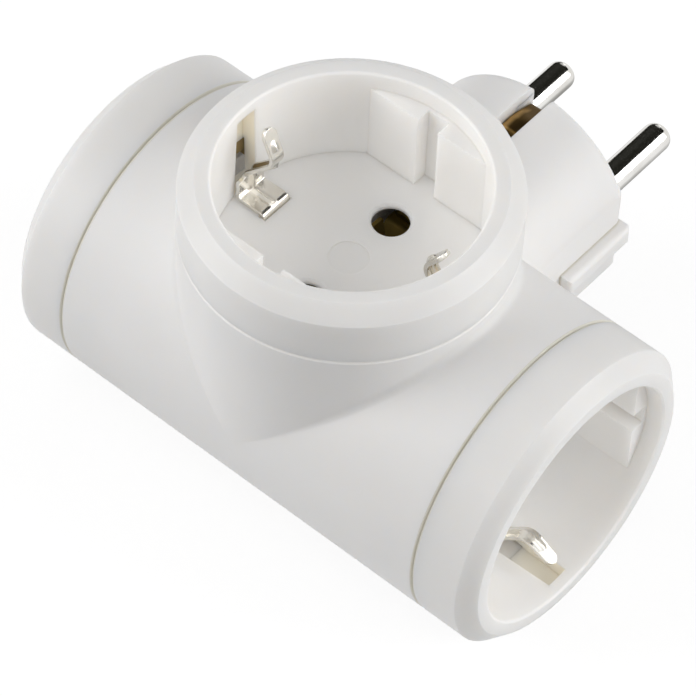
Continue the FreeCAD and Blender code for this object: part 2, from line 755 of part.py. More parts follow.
def earth_rivet_holes():
    under_cup = point(0, EARTH_RIVET_SIDE, CUP_FLOOR_TOP)
    holes = [rod(EARTH_RIVET_RADIUS, under_cup - Z_AXIS * DRILL_DEEP, under_cup), strap_rivet_hole()]
    for end in (-1, 1):
        at_cup = point(end * CUP_FLOOR_END, EARTH_RIVET_SIDE, EARTH_RIVET_HEIGHT)
        holes.append(rod(EARTH_RIVET_RADIUS, at_cup - X_AXIS * (end * DRILL_DEEP), at_cup))
    return holes


def earth_rivets():
    """One rivet at each bracket, and one at the plug's strap."""
    stack = SPRING + SHEET
    rivets = [countersunk_rivet(point(0, EARTH_RIVET_SIDE, CUP_FLOOR_TOP - stack), Z_AXIS)]
    for end in (-1, 1):
        spot = point(end * (CUP_FLOOR_END - stack), EARTH_RIVET_SIDE, EARTH_RIVET_HEIGHT)
        rivets.append(countersunk_rivet(spot, X_AXIS * end))
    strap = point(0, STRAP_WEB - SHEET / 2 - SHEET, EARTH_RIVET_HEIGHT)
    rivets.append(rivet(strap, Y_AXIS, 2 * SHEET, EARTH_RIVET_RADIUS))
    return Part.makeCompound(rivets)


def countersunk_rivet(spot, along):
    """A rivet with one head, flush where the bracket lies against its socket's floor."""
    shank = rod(EARTH_RIVET_RADIUS, spot, spot + along * (SHEET + SPRING))
    head_radius = EARTH_RIVET_RADIUS + (RIVET_HEAD_RADIUS - RIVET_RADIUS)
    head = rod(head_radius, spot + along * -RIVET_HEAD, spot)
    return shank.fuse(head).removeSplitter()


# Carrier


def contact_carrier():
    """A plate of insulating plastic across the tube. It is cut away round the
    neutral link, the earth bar's arm, the end brackets and the rivet heads."""
    plate = block(
        -CUP_FLOOR_END, CUP_FLOOR_END, -CARRIER_HALF_WIDE, CARRIER_HALF_WIDE, CARRIER_BOTTOM, BAR_BOTTOM
    )
    link_gap = block(
        -HALF_PITCH - LINK_HALF - CLEARANCE,
        -HALF_PITCH + LINK_HALF + CLEARANCE,
        -HALF_PITCH - BAR_HALF - CLEARANCE,
        CARRIER_HALF_WIDE,
        CARRIER_BOTTOM,
        BAR_BOTTOM,
    )
    arm_wide = EARTH_ARM_HALF + CLEARANCE
    arm_thick = SHEET / 2 + CLEARANCE
    arm_gap = block(-arm_wide, arm_wide, -arm_thick, arm_thick, CARRIER_BOTTOM, BAR_BOTTOM)
    bracket_gap = block(
        CUP_FLOOR_END - SPRING - CLEARANCE,
        CUP_FLOOR_END,
        -BASE_HALF - CLEARANCE,
        BASE_HALF + CLEARANCE,
        CARRIER_BOTTOM,
        BAR_BOTTOM,
    )
    plate = plate.cut(link_gap).cut(arm_gap).cut(side_by_side(bracket_gap))
    for side in (-1, 1):
        for along in (-END_RIVET, 0, END_RIVET, side * HALF_PITCH):
            spot = point(along, side * HALF_PITCH, CARRIER_BOTTOM)
            plate = plate.cut(rod(RIVET_HEAD_RADIUS + CLEARANCE, spot, spot + Z_AXIS * CARRIER_THICK))
    return plate.removeSplitter()


def make_parts():
    insert = socket_insert()
    return {
        "main_housing": main_housing(),
        "top_socket_insert": at_top(insert),
        "left_socket_insert": at_left(insert),
        "right_socket_insert": at_right(insert),
        "plug_face_plate": plug_face_plate(),
        "live_pin": plug_pin(1),
        "neutral_pin": plug_pin(-1),
        "live_link": link(1),
        "neutral_link": link(-1),
        "live_bar": contact_bar(1),
        "neutral_bar": contact_bar(-1),
        "live_contact_top": top_contact(1),
        "live_contact_left": end_contact(1, -1),
        "live_contact_right": end_contact(1, 1),
        "neutral_contact_top": top_contact(-1),
        "neutral_contact_left": end_contact(-1, -1),
        "neutral_contact_right": end_contact(-1, 1),
        "contact_carrier": contact_carrier(),
        "earth_bar": earth_bar(),
        "top_earth_bracket": at_top(earth_bracket(0, TOP_LEFT_CLIP, TOP_RIGHT_CLIP)),
        "left_earth_bracket": at_left(earth_bracket(EARTH_RIVET_HEIGHT, END_CLIP, END_CLIP)),
        "right_earth_bracket": at_right(earth_bracket(-EARTH_RIVET_HEIGHT, END_CLIP, END_CLIP)),
        "plug_earth_strap": plug_earth_strap(),
        "live_rivets": line_rivets(1),
        "neutral_rivets": line_rivets(-1),
        "earth_rivets": earth_rivets(),
    }


os.makedirs("parts", exist_ok=True)
for name, shape in make_parts().items():
    shape.translate(point(0, -PLUG_FACE, 0))
    shape.exportStep(f"parts/{name}.step")
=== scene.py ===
import bmesh
import bpy
import numpy as np
from mathutils import Matrix, Vector


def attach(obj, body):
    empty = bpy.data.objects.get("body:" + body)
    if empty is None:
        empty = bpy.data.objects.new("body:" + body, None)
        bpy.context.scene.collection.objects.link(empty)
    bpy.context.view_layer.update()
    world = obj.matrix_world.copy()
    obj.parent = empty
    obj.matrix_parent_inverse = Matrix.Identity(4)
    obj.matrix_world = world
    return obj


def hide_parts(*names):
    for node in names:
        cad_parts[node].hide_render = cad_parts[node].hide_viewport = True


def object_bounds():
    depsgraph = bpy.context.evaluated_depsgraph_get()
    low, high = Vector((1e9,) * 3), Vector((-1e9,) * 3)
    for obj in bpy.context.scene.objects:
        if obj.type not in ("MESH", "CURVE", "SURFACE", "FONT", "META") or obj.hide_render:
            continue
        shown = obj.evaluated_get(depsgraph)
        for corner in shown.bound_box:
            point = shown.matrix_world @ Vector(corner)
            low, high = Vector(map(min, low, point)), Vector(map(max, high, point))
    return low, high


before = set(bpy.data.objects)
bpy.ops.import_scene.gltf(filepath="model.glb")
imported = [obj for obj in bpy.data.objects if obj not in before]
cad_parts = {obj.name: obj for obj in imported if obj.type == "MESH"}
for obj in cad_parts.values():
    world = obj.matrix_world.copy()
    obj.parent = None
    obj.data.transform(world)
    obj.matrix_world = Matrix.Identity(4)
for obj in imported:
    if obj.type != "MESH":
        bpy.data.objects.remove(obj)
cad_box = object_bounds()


# The housing is one moulding of satin off-white plastic: a tube with two open ends, a
# second tube standing on it, and the shell of the plug. All the other parts snap, slide
# or rivet into it, and its outside has the faint mottle and grain of the mould.


class Wire:
    """A wire in a material's node tree. Arithmetic signs on it add Math nodes."""

    def __init__(self, tree, socket=None):
        self.tree = tree
        self.socket = socket

    def add(self, kind, settings, sockets, output=0):
        """Adds one node: its settings come first, then a number, colour or wire for each
        of its sockets. The result is the wire that leaves the named output."""
        node = self.tree.nodes.new(kind)
        for name, value in settings.items():
            setattr(node, name, value)
        for name, value in sockets.items():
            if isinstance(value, Wire):
                self.tree.links.new(value.socket, node.inputs[name])
            else:
                node.inputs[name].default_value = value
        return Wire(self.tree, node.outputs[output])

    def sign(self, operation, first, second):
        return self.add("ShaderNodeMath", {"operation": operation}, {0: first, 1: second})

    def __add__(self, other):
        return self.sign("ADD", self, other)

    def __radd__(self, other):
        return self.sign("ADD", other, self)

    def __rsub__(self, other):
        return self.sign("SUBTRACT", other, self)

    def __mul__(self, other):
        return self.sign("MULTIPLY", self, other)

    def __rmul__(self, other):
        return self.sign("MULTIPLY", other, self)

    def noise(self, places, scale, detail=3.0, roughness=0.5):
        """Cloudy noise from 0 to 1, with this many clouds to the metre."""
        sockets = {"Vector": places, "Scale": scale, "Detail": detail, "Roughness": roughness}
        return self.add("ShaderNodeTexNoise", {"noise_dimensions": "3D"}, sockets, "Fac")

    def blend(self, share, first, second):
        """A colour between two colours."""
        return self.add("ShaderNodeMix", {"data_type": "RGBA"}, {0: share, 6: first, 7: second}, 2)

    def between(self, low, high):
        """Clips the part of the wire between two values to the range 0 to 1."""
        sockets = {"Value": self, "From Min": low, "From Max": high}
        return self.add("ShaderNodeMapRange", {"clamp": True}, sockets)

    def or_else(self, other):
        """The larger of two shares."""
        return self.sign("MAXIMUM", self, other)

    def vector(self, operation, other=(0.0, 0.0, 0.0), output="Vector"):
        """Arithmetic on the whole vector, with another one where the sign needs it."""
        return self.add("ShaderNodeVectorMath", {"operation": operation}, {0: self, 1: other}, output)

    def part(self, way):
        """One of a vector's parts: X, Y or Z."""
        return self.add("ShaderNodeSeparateXYZ", {}, {"Vector": self}, way)


def new_finish(name):
    """An empty material, with the wires for its places and for its shader's sockets."""
    material = bpy.data.materials.new(name)
    material.use_nodes = True
    tree = material.node_tree
    shader = tree.nodes["Principled BSDF"]
    start = Wire(tree)
    places = start.add("ShaderNodeTexCoord", {}, {}, "Object")
    return material, start, places, shader


def plug_in(shader, sockets):
    """Sets numbers and colours on the shader's own sockets, and links wires to them."""
    for name, value in sockets.items():
        if isinstance(value, Wire):
            value.tree.links.new(value.socket, shader.inputs[name])
        else:
            shader.inputs[name].default_value = value


MM = 0.001
CLOUDS, SPECKS = 38.0, 900.0
FINE_GRAIN, ORANGE_PEEL = 5200.0, 320.0
GRAIN_HEIGHT = 0.08 * MM
EDGE_SOFTNESS = 0.18 * MM
DUST_AND_SHADE = (0.46, 0.40, 0.2, 1.0)
DUST_AND_SHADE_REACH = 0.5 * MM
DUST_AND_SHADE_SHARE = 0.7
CORNER, OPEN = 0.25, 0.92
UNLIT = (0.0, 0.0, 0.0, 1.0)
GLOW_FOR_LIGHT_THROUGH_WALL = (1.0, 0.955, 0.89, 1.0)
WALL_GLOW = 0.09


def moulded_plastic(name, pale, warm, shine, depth, find_places):
    """Satin moulded plastic that lets a little light through: two close tones in slow
    clouds, fine grain in the bump, and a little dust and painted shade where two parts
    meet. Some places have a tone of their own, and a painted glow, standing in for light
    that comes through the walls, lifts others."""
    material, start, places, shader = new_finish(name)
    clouds = start.noise(places, CLOUDS, 4.0, 0.55)
    specks = start.noise(places, SPECKS, 2.0)
    tone = start.blend(clouds.between(0.35, 0.7), pale, warm)
    # Ambient occlusion finds creases and joins, which are darkened with a dusty tone there: partly dust,
    # partly painted shade.
    corner = start.add("ShaderNodeAmbientOcclusion", {"samples": 3}, {"Distance": DUST_AND_SHADE_REACH})
    open_air = start.add("ShaderNodeSeparateColor", {}, {"Color": corner}, "Red")
    toned, own_tone, painted_glow = find_places(start, places)
    dust_and_shade = (1.0 - open_air.between(CORNER, OPEN)) * (0.6 + 0.4 * specks) * (1.0 - 0.85 * painted_glow)
    tone = start.blend(dust_and_shade * DUST_AND_SHADE_SHARE, start.blend(toned, tone, own_tone), DUST_AND_SHADE)
    grain = start.noise(places, FINE_GRAIN, 2.0) * 0.6 + start.noise(places, ORANGE_PEEL, 3.0) * 0.4
    bump = start.add("ShaderNodeBump", {}, {"Strength": 0.12, "Distance": GRAIN_HEIGHT, "Height": grain})
    edge = start.add("ShaderNodeBevel", {"samples": 3}, {"Radius": EDGE_SOFTNESS, "Normal": bump})
    # Painted glow: the recesses, windows and seams glow though they are no lamp, standing in for light
    # through the walls and light bounced inside.
    plug_in(shader, {
        "Base Color": tone,
        "Emission Color": start.blend(painted_glow, UNLIT, GLOW_FOR_LIGHT_THROUGH_WALL),
        "Emission Strength": WALL_GLOW,
        "Roughness": shine + 0.1 * clouds + 0.05 * specks,
        "Normal": edge,
        "IOR": 1.5,
        "Specular IOR Level": 0.3,
        "Subsurface Weight": 1.0,
        "Subsurface Radius": (1.0, 0.94, 0.86),
        "Subsurface Scale": depth,
    })
    return material


SHARP_ANGLE = np.radians(28.0)
MERGE_DISTANCE = 0.002 * MM


def soft_copy(node):
    """A copy of a CAD node with its loose triangles merged. It is shaded smooth, apart
    from the edges where two faces meet at more than the sharp angle."""
    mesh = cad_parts[node].data.copy()
    shape = bmesh.new()
    shape.from_mesh(mesh)
    bmesh.ops.remove_doubles(shape, verts=shape.verts, dist=MERGE_DISTANCE)
    for face in shape.faces:
        face.smooth = True
    for edge in shape.edges:
        edge.smooth = len(edge.link_faces) == 2 and edge.calc_face_angle() < SHARP_ANGLE
    shape.to_mesh(mesh)
    shape.free()
    return mesh


def fit(name, mesh, material, slot, *nodes):
    """Puts a piece in the scene: it takes its finish, stands for the CAD nodes and rides
    on the body that the whole adapter is."""
    mesh.materials.clear()
    mesh.materials.append(material)
    piece = bpy.data.objects.new(name, mesh)
    bpy.context.scene.collection.objects.link(piece)
    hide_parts(*nodes)
    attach(piece, "root")
    return piece


def even_normals(piece):
    """Lets the large faces decide how the smooth shading runs into the small ones."""
    finish = piece.modifiers.new("even_normals", "WEIGHTED_NORMAL")
    finish.mode = "FACE_AREA"
    finish.keep_sharp = True
    finish.weight = 80


SOCKET_AXIS = -45.5
CROSSING = (0.0, SOCKET_AXIS, 0.0)
TO_MILLIMETRES = (1 / MM, 1 / MM, 1 / MM)
X_AND_Y = (1.0, 1.0, 0.0)
Y_AND_Z = (0.0, 1.0, 1.0)
BLUR = 0.1
OUTSIDE = 24.0
TOP_SEAM = 27.5
END_SEAM = 34.1
SEAM_HALF = 0.3
SEAM_TONE = (0.78, 0.75, 0.66, 1.0)
TOP_SEAM_GLOW, END_SEAM_GLOW = 0.9, 0.35
HOLLOW_NEAR, HOLLOW_FAR = 22.0, 24.2
HOLLOW_BOTTOM, HOLLOW_TOP = 17.0, 27.0
HOLLOW_HALF = 3.2
HOLLOW_SHADE_BROWN = (0.34, 0.25, 0.11, 1.0)


def belt(value, low, high):
    """One between two values, and zero a little outside them."""
    return value.between(low - BLUR, low) * value.between(high + BLUR, high)


def from_crossing(places):
    """How far a place is, in millimetres, from the point where the tubes' axes cross,
    along X, Y and Z. Then how far from the top tube's axis and from the long tube's."""
    spot = places.vector("MULTIPLY", TO_MILLIMETRES).vector("SUBTRACT", CROSSING).vector("ABSOLUTE")
    from_top_axis = spot.vector("MULTIPLY", X_AND_Y).vector("LENGTH", output="Value")
    from_long_axis = spot.vector("MULTIPLY", Y_AND_Z).vector("LENGTH", output="Value")
    return spot.part("X"), spot.part("Y"), spot.part("Z"), from_top_axis, from_long_axis


def seam(along, from_axis, middle):
    """The share of a seam: a belt round the foot of a collar, on the outside."""
    outside = from_axis.between(OUTSIDE, OUTSIDE + 2 * BLUR)
    return belt(along, middle - SEAM_HALF, middle + SEAM_HALF) * outside


def seams(x, z, from_top_axis, from_long_axis):
    """The share of the end seams, which have a tone of their own, and how much all the
    seams glow with painted light. The top seam glows so much that its shade hardly shows."""
    top = seam(z, from_top_axis, TOP_SEAM)
    end = seam(x, from_long_axis, END_SEAM)
    return end, (TOP_SEAM_GLOW * top).or_else(END_SEAM_GLOW * end)


def housing_places(start, places):
    """The hollows behind the top socket's springs are painted dark brown, as painted shade.
    They lie between two distances out from the middle, between two heights, and within a
    half width of it."""
    x, y, z, from_top_axis, from_long_axis = from_crossing(places)
    end_seam, painted_glow = seams(x, z, from_top_axis, from_long_axis)
    # Painted shade: the hollows are coloured dark brown where shade falls in them.
    hollow = belt(x, HOLLOW_NEAR, HOLLOW_FAR) * belt(z, HOLLOW_BOTTOM, HOLLOW_TOP)
    hollow = hollow * y.between(HOLLOW_HALF + 2 * BLUR, HOLLOW_HALF)
    own_tone = start.blend(end_seam, HOLLOW_SHADE_BROWN, SEAM_TONE)
    return hollow.or_else(end_seam), own_tone, painted_glow


HOUSING_PALE = (0.88, 0.872, 0.864, 1.0)
HOUSING_WARM = (0.864, 0.852, 0.838, 1.0)
housing_plastic = moulded_plastic(
    "housing_plastic", HOUSING_PALE, HOUSING_WARM, shine=0.33, depth=1.4 * MM, find_places=housing_places
)
housing = soft_copy("main_housing")
even_normals(fit("housing", housing, housing_plastic, "white_plastic", "main_housing"))


# Each socket insert is one more moulding, in a plastic a shade warmer than the housing.
# It has the bevelled collar, the deep round recess with its guides and windows, and the
# floor with the two pin holes. It snaps into the end of its tube.

WINDOW_NEAR, WINDOW_FAR = 20.3, 22.9
WINDOW_HALF = 2.5
TOP_WINDOW_BOTTOM, TOP_WINDOW_TOP = 20.1, 35.9
END_WINDOW_BOTTOM, END_WINDOW_TOP = 26.6, 42.5
WINDOW_PAINTED_LIGHT = (0.87, 0.825, 0.72, 1.0)
RECESS_RADIUS, RECESS_FADES = 20.3, 20.6


def insert_places(start, places):
    """The windows are painted creamy, for the warm light bounced in them. They lie between
    two distances out from the middle of the socket, and within a half width of it. They
    glow with painted light, and so does the whole recess, which is the space round the
    axis of the socket."""
    x, y, z, from_top_axis, from_long_axis = from_crossing(places)
    end_seam, seam_glow = seams(x, z, from_top_axis, from_long_axis)
    top_window = belt(x, WINDOW_NEAR, WINDOW_FAR) * belt(z, TOP_WINDOW_BOTTOM, TOP_WINDOW_TOP)
    end_window = belt(z, WINDOW_NEAR, WINDOW_FAR) * belt(x, END_WINDOW_BOTTOM, END_WINDOW_TOP)
    window = top_window.or_else(end_window) * y.between(WINDOW_HALF + 2 * BLUR, WINDOW_HALF)
    top_recess = from_top_axis.between(RECESS_FADES, RECESS_RADIUS)
    end_recess = from_long_axis.between(RECESS_FADES, RECESS_RADIUS)
    painted_glow = top_recess.or_else(end_recess).or_else(window).or_else(seam_glow)
    # Painted light: the windows take a warm, light tone for the light bounced in them.
    own_tone = start.blend(end_seam, WINDOW_PAINTED_LIGHT, SEAM_TONE)
    return window.or_else(end_seam), own_tone, painted_glow


INSERT_PALE = (0.848, 0.842, 0.834, 1.0)
INSERT_WARM = (0.835, 0.827, 0.813, 1.0)
insert_plastic = moulded_plastic(
    "insert_plastic", INSERT_PALE, INSERT_WARM, shine=0.3, depth=3.0 * MM, find_places=insert_places
)
for where in ("top", "left", "right"):
    node = f"{where}_socket_insert"
    even_normals(fit(f"{where}_insert", soft_copy(node), insert_plastic, "insert_plastic", node))


# The face plate closes the plug. It is a separate moulding in the housing's plastic, and
# the two pins go through it.

plate = soft_copy("plug_face_plate")
even_normals(fit("face_plate", plate, housing_plastic, "white_plastic", "plug_face_plate"))


# The plug's pins are turned from brass rod and plated with polished nickel. Each has a
# domed tip, and a thinner tail that goes through the face plate to a link.

MARK_HEIGHT = 0.02 * MM


def polished_metal(name, colour, dull, shine, marks, strength):
    """Plated metal: a clean colour with slow dull clouds, and fine marks of the tool that
    made it. Marks is how many of them there are to the metre along X, Y and Z."""
    material, start, places, shader = new_finish(name)
    clouds = start.noise(places, 160.0, 4.0)
    along = start.add("ShaderNodeMapping", {}, {"Vector": places, "Scale": marks})
    lines = start.noise(along, 1.0, 3.0)
    bump = start.add("ShaderNodeBump", {}, {"Strength": strength, "Distance": MARK_HEIGHT, "Height": lines})
    plug_in(shader, {
        "Base Color": start.blend(clouds.between(0.45, 0.75), colour, dull),
        "Metallic": 1.0,
        "Roughness": shine + 0.07 * clouds + 0.05 * lines,
        "Normal": bump,
    })
    return material


SAME_PLACE = 0.0001 * MM


def grid_mesh(name, points, closed_across=False):
    """A mesh from an array of points on a grid. Across, the grid may close on itself."""
    rows, columns = points.shape[:2]
    number = np.arange(rows * columns).reshape(rows, columns)
    if closed_across:
        number = np.concatenate([number, number[:, :1]], axis=1)
    corners = np.stack([number[:-1, :-1], number[1:, :-1], number[1:, 1:], number[:-1, 1:]], axis=-1)
    mesh = bpy.data.meshes.new(name)
    mesh.from_pydata(points.reshape(-1, 3), [], corners.reshape(-1, 4))
    shape = bmesh.new()
    shape.from_mesh(mesh)
    bmesh.ops.remove_doubles(shape, verts=shape.verts, dist=SAME_PLACE)
    bmesh.ops.recalc_face_normals(shape, faces=shape.faces)
    for face in shape.faces:
        face.smooth = True
    shape.to_mesh(mesh)
    shape.free()
    return mesh


PIN_RADIUS = 2.4
PIN_PITCH = 19.0
PIN_LENGTH = 19.0
PIN_TIP = 1.9
PIN_SHOULDER = 0.1
PIN_TAIL_RADIUS = 2.2
PIN_TAIL_END = -20.5
PIN_TAIL_CHAMFER = 0.2
PIN_TAIL_FLAT_FROM = -12.5
PIN_TAIL_FLAT = -1.5
TAIL_FLAT_RINGS = 4
SHOULDER_EDGE_ALONG = np.array([0.0, 0.04, 0.15])
SHOULDER_EDGE_IN = np.array([0.14, 0.04, 0.0])
BODY_RINGS = 12
BODY_FROM = 0.6
BODY_TO = PIN_LENGTH - PIN_TIP - 0.3
TIP_ALONG_POWER = 0.9
TIP_OUT_POWER = 0.62
TIP_RINGS = 20
PIN_FACETS = 96


def pin_points(middle):
    """A pin is its profile turned about the line along Y through the middle. The tip is a
    quarter of a superellipse: the length beyond the tip's start is the sine and the radius
    is the cosine of the same angle, both raised to a power below one."""
    turn = np.linspace(0.0, np.pi / 2, TIP_RINGS)
    tip_along = PIN_LENGTH - PIN_TIP + PIN_TIP * np.sin(turn) ** TIP_ALONG_POWER
    tip_out = PIN_RADIUS * np.cos(turn) ** TIP_OUT_POWER
    tip_out[-1] = 0.0
    along = np.concatenate([
        [PIN_TAIL_END, PIN_TAIL_END, PIN_TAIL_END + PIN_TAIL_CHAMFER],
        [PIN_TAIL_FLAT_FROM, PIN_TAIL_FLAT_FROM, PIN_SHOULDER],
        PIN_SHOULDER + SHOULDER_EDGE_ALONG,
        np.linspace(BODY_FROM, BODY_TO, BODY_RINGS),
        tip_along,
    ])
    out = np.concatenate([
        [0.0, PIN_TAIL_RADIUS - PIN_TAIL_CHAMFER, PIN_TAIL_RADIUS],
        [PIN_TAIL_RADIUS, PIN_TAIL_RADIUS, PIN_TAIL_RADIUS],
        PIN_RADIUS - SHOULDER_EDGE_IN,
        np.full(BODY_RINGS, PIN_RADIUS),
        tip_out,
    ])
    around = np.linspace(0.0, 2 * np.pi, PIN_FACETS, endpoint=False)
    x = middle + out[:, None] * np.cos(around)
    z = out[:, None] * np.sin(around)
    y = np.broadcast_to(along[:, None], x.shape)
    flat = (np.arange(len(along)) < TAIL_FLAT_RINGS)[:, None]
    z = np.where(flat, np.maximum(z, PIN_TAIL_FLAT), z)
    return np.stack([x, y, z], axis=-1) * MM


BRIGHT_NICKEL = (0.80, 0.79, 0.765, 1.0)
CLOUDED_NICKEL = (0.66, 0.64, 0.60, 1.0)
pin_nickel = polished_metal(
    "pin_nickel", BRIGHT_NICKEL, CLOUDED_NICKEL, shine=0.06, marks=(60.0, 5000.0, 60.0), strength=0.12
)
for name, side in (("live_pin", 1), ("neutral_pin", -1)):
    mesh = grid_mesh(name, pin_points(side * PIN_PITCH / 2), closed_across=True)
    fit(f"{name}_turned", mesh, pin_nickel, "pin_nickel", name)


# The earth strap of the plug is a strip of plain brass sheet, with a dark reflection
# painted on part of it. It lies in a slot along the top and along the bottom, and folds
# over the edge of the face.

ARC_POINTS = 25


def bent_line(corners, bends, step):
    """Straight runs between the corners, joined by arcs of the given radii. An arc's
    points are the two ends of its first and last radius, mixed by the sines of the angle
    still to turn and already turned. The line is then cut into even steps, and each
    point's distance along it goes with it."""
    corners = np.array(corners)
    line = [corners[:1]]
    for before, corner, after, bend in zip(corners, corners[1:], corners[2:], bends):
        back = (before - corner) / np.linalg.norm(before - corner)
        onward = (after - corner) / np.linalg.norm(after - corner)
        opening = np.arccos(np.clip(back @ onward, -1.0, 1.0))
        centre = corner + (back + onward) / np.linalg.norm(back + onward) * bend / np.sin(opening / 2)
        first = corner + back * bend / np.tan(opening / 2) - centre
        last = corner + onward * bend / np.tan(opening / 2) - centre
        turn = np.pi - opening
        share = np.linspace(0.0, 1.0, ARC_POINTS)[:, None]
        arc = np.sin((1 - share) * turn) * first + np.sin(share * turn) * last
        line.append(centre + arc / np.sin(turn))
    line.append(corners[-1:])
    line = np.concatenate(line)
    length = np.concatenate([[0.0], np.cumsum(np.linalg.norm(np.diff(line, axis=0), axis=1))])
    even = np.linspace(0.0, length[-1], int(length[-1] / step) + 1)
    cut = [np.interp(even, length, line[:, way]) for way in (0, 1)]
    return np.stack(cut, axis=1), even


EDGE_RADIUS = 0.12
CORNER_POINTS = 5
FACE_POINTS = 22


def strip_points(line, half_width, thickness, ridge):
    """A strip along a line. Its section is a rounded rectangle, taken once round: a core
    rectangle's corner plus the edge radius times the cosine and the sine of an angle. The
    ridge lifts both faces by the same height. The points are given as along the line,
    across the strip and out of its face."""
    ahead = np.gradient(line, axis=0)
    ahead /= np.linalg.norm(ahead, axis=1)[:, None]
    face_way = np.stack([-ahead[:, 1], ahead[:, 0]], axis=1)
    quarter = np.linspace(0.0, np.pi / 2, CORNER_POINTS)
    angle = [quarter - np.pi / 2, quarter, np.full(FACE_POINTS, np.pi / 2)]
    angle = np.concatenate(angle + [turned + np.pi for turned in angle])
    side = np.concatenate([np.ones(2 * CORNER_POINTS), np.linspace(1.0, -1.0, FACE_POINTS + 2)[1:-1]])
    face = np.concatenate([-np.ones(CORNER_POINTS), np.ones(CORNER_POINTS + FACE_POINTS)])
    core = np.maximum(half_width - EDGE_RADIUS, 0.0)[:, None]
    place = core * np.concatenate([side, -side]) + EDGE_RADIUS * np.cos(angle)
    out = (thickness / 2 - EDGE_RADIUS) * np.concatenate([face, -face]) + EDGE_RADIUS * np.sin(angle)
    spot = line[:, None, :] + face_way[:, None, :] * (out + ridge(place))[..., None]
    return np.stack([spot[..., 0], place, spot[..., 1]], axis=-1)


def closed_strip(points):
    """Closes both ends of a strip: each end ring is repeated, drawn in to its middle."""
    first = np.broadcast_to(points[:1].mean(axis=1, keepdims=True), points[:1].shape)
    last = np.broadcast_to(points[-1:].mean(axis=1, keepdims=True), points[-1:].shape)
    return np.concatenate([first, points, last])


STRAP_THICKNESS = 0.8
STRAP_HALF = 1.8
STRAP_STEP = 0.12
STRAP_ROUTE = [
    (-12.3, 0.0), (-12.3, 13.9), (-9.2, 13.9), (-7.8, 15.65), (-5.0, 15.65), (-0.65, 14.3), (-0.65, 12.0)
]
STRAP_BENDS = [0.8, 0.8, 0.8, 8.0, 0.8]
PLAIN_BRASS = (0.46, 0.29, 0.11, 1.0)
CLOUDED_BRASS = (0.34, 0.20, 0.07, 1.0)
DARK_REFLECTION_BROWN = (0.10, 0.06, 0.018, 1.0)

strap_brass = polished_metal(
    "strap_brass", PLAIN_BRASS, CLOUDED_BRASS, shine=0.3, marks=(900.0, 70.0, 900.0), strength=0.3
)


def paint_dark_reflection(material):
    """A dark brown painted reflection laid over the finish, on the +X half and where the
    strap folds over the edge of the face, for the shaded wall it mirrors there. Noise makes
    both of its borders ragged."""
    shader = material.node_tree.nodes["Principled BSDF"]
    start = Wire(material.node_tree)
    places = start.add("ShaderNodeTexCoord", {}, {}, "Object")
    own_colour = Wire(material.node_tree, shader.inputs["Base Color"].links[0].from_socket)
    # Painted reflection: the +X half and the fold are painted dark, for the shade they mirror.
    to_right = places.part("X") + 0.6 * MM * start.noise(places, 700.0)
    to_face = places.part("Y") + 1.5 * MM * start.noise(places, 500.0)
    dark_reflection = to_right.between(-1.0 * MM, -0.3 * MM).or_else(to_face.between(-3.0 * MM, -1.0 * MM))
    plug_in(shader, {"Base Color": start.blend(dark_reflection, own_colour, DARK_REFLECTION_BROWN)})


paint_dark_reflection(strap_brass)
upper = STRAP_ROUTE[:0:-1]
both = upper + [(along, -height) for along, height in STRAP_ROUTE[1:]]
line = bent_line(both, STRAP_BENDS[::-1] + STRAP_BENDS, STRAP_STEP)[0]
grid = strip_points(line, np.full(len(line), STRAP_HALF), STRAP_THICKNESS, np.zeros_like)
along, across, height = np.moveaxis(closed_strip(grid), -1, 0)
mesh = grid_mesh("plug_strap", np.stack([across, along, height], axis=-1) * MM, closed_across=True)
even_normals(fit("plug_strap", mesh, strap_brass, "strap_brass", "plug_earth_strap"))


# The earth clips of a socket are the two ends of one bent strip of nickelled spring sheet.
# They come up through slots in the floor and up the wall, where they narrow to a tongue
# that bows into the socket. A pressed ridge down the middle stiffens them.

SHEET = 0.7
FOOT_HALF = 2.8
TONGUE_HALF = 1.25
SHOULDER_HEIGHT = -13.6
SHOULDER_BLEND = 0.09
UNDER_FLOOR = -20.25
ON_FLOOR = -17.15
SLOT_OUT = 14.0
WALL_OUT = 19.1
WALL_TOP = -13.0
CLIP_BENDS = [2.4, 1.5, 0.8, 0.8, 0.8]
CLIP_STEP = 0.1
TAPER_LENGTH = 5.0
TIP_LEFT_OVER = 0.02
TOP_FACE = 37.8
END_FACE = 44.4
RIDGE_HEIGHT = 0.45
RIDGE_HALF = 0.44
RIDGE_FROM_TIP = 2.6
RIDGE_BLEND = 0.2
RIDGE_STARTS = 14.5

BRIGHT_SPRING = (0.82, 0.80, 0.75, 1.0)
CLOUDED_SPRING = (0.66, 0.62, 0.55, 1.0)
spring_nickel = polished_metal(
    "spring_nickel", BRIGHT_SPRING, CLOUDED_SPRING, shine=0.17, marks=(500.0, 500.0, 500.0), strength=0.15
)


